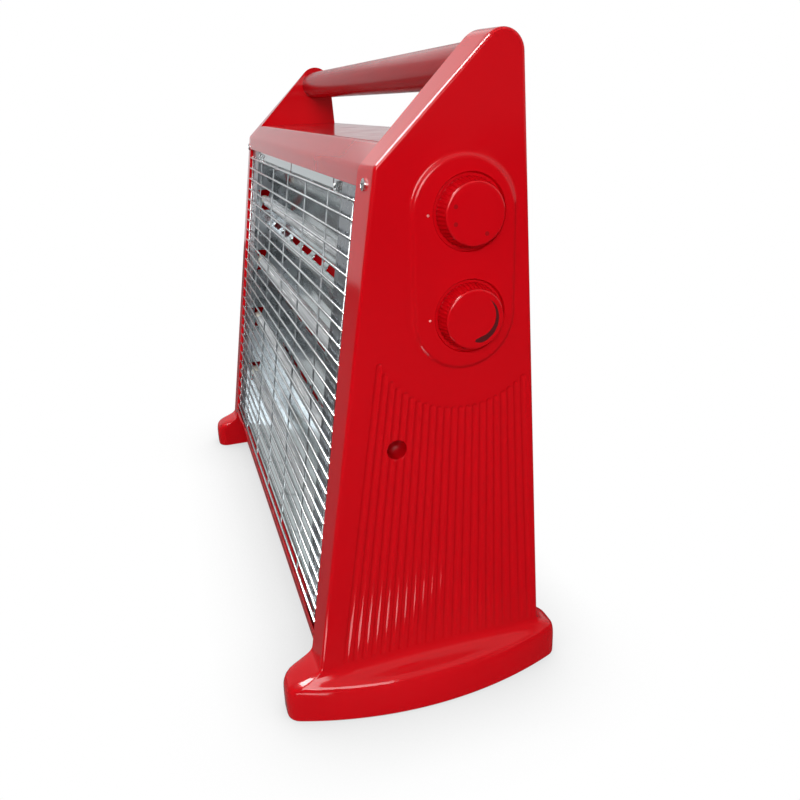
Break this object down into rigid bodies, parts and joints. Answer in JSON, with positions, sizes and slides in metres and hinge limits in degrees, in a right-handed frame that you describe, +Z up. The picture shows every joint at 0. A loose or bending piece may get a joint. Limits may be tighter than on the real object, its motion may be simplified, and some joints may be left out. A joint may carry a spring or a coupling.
{
  "type": "fan heater",
  "caption": "Free-standing quartz-tube room heater with fan: leaning wire-grille front, polished reflector, fluted red side panels with feet, bar handle on top and turning knobs on one side.",
  "frame": {"origin": "on the floor, under the middle of the heater's bounding box", "axes": "+X to the control side, +Y to the rear, +Z up; the grille faces -Y"},
  "size_m": [0.584, 0.22, 0.4619],
  "materials": {
    "red_moulding": "glossy",
    "red_handle": "glossy",
    "red_paint": "glossy",
    "polished_sheet": "polished",
    "zinc_steel": "satin",
    "bright_wire": "polished",
    "quartz": "milky",
    "ceramic": "matt",
    "coil_wire": "dull",
    "brass": "satin",
    "copper": "lacquered",
    "motor_plates": "dull",
    "switch_plastic": "matt",
    "black_plastic": "matt",
    "fan_metal": "satin"
  },
  "bodies": {
    "heater": {"right_side_panel": "red_moulding", "left_side_panel": "red_moulding", "handle_bar": "red_handle", "body_cover": "red_paint", "base_pan": "red_paint", "rear_panel": "red_paint", "reflector": "polished_sheet", "right_cheek": "zinc_steel", "left_cheek": "zinc_steel", "quartz_tube_1": "quartz", "quartz_tube_2": "quartz", "quartz_tube_3": "quartz", "quartz_tube_4": "quartz", "heating_coils": "coil_wire", "ceramic_caps": "ceramic", "terminal_pins": "brass", "front_grille": "bright_wire", "grille_clips": "bright_wire", "side_screws": "bright_wire", "flange_screws": "bright_wire", "rear_screws": "bright_wire", "selector_switch": "switch_plastic", "thermostat_body": "switch_plastic", "control_nuts": "zinc_steel", "bracket_posts": "zinc_steel", "post_screws": "bright_wire", "fan_bracket": "zinc_steel", "motor_stator": "motor_plates", "motor_coil": "copper", "rear_bearing": "brass", "front_bearing": "brass", "motor_screws": "bright_wire", "terminal_block": "ceramic", "thermal_cutout": "black_plastic", "cord_gland": "black_plastic"},
    "selector": {"selector_knob": "red_moulding", "selector_shaft": "zinc_steel"},
    "thermostat": {"thermostat_knob": "red_moulding", "thermostat_shaft": "zinc_steel"},
    "fan": {"fan_impeller": "fan_metal", "motor_shaft": "zinc_steel", "motor_rotor": "motor_plates"}
  },
  "joints": [
    {"name": "selector_turn", "type": "hinge", "parent": "heater", "child": "selector", "pos_m": [0.27, 0.0342, 0.3582], "axis": [-1, 0, 0], "range_deg": [0, 180]},
    {"name": "thermostat_turn", "type": "hinge", "parent": "heater", "child": "thermostat", "pos_m": [0.27, 0.0342, 0.2924], "axis": [-1, 0, 0], "range_deg": [0, 270]},
    {"name": "fan_spin", "type": "hinge", "parent": "heater", "child": "fan", "pos_m": [0, 0.08497, 0.215], "axis": [0, 0.9986, 0.0536], "continuous": true}
  ]
}
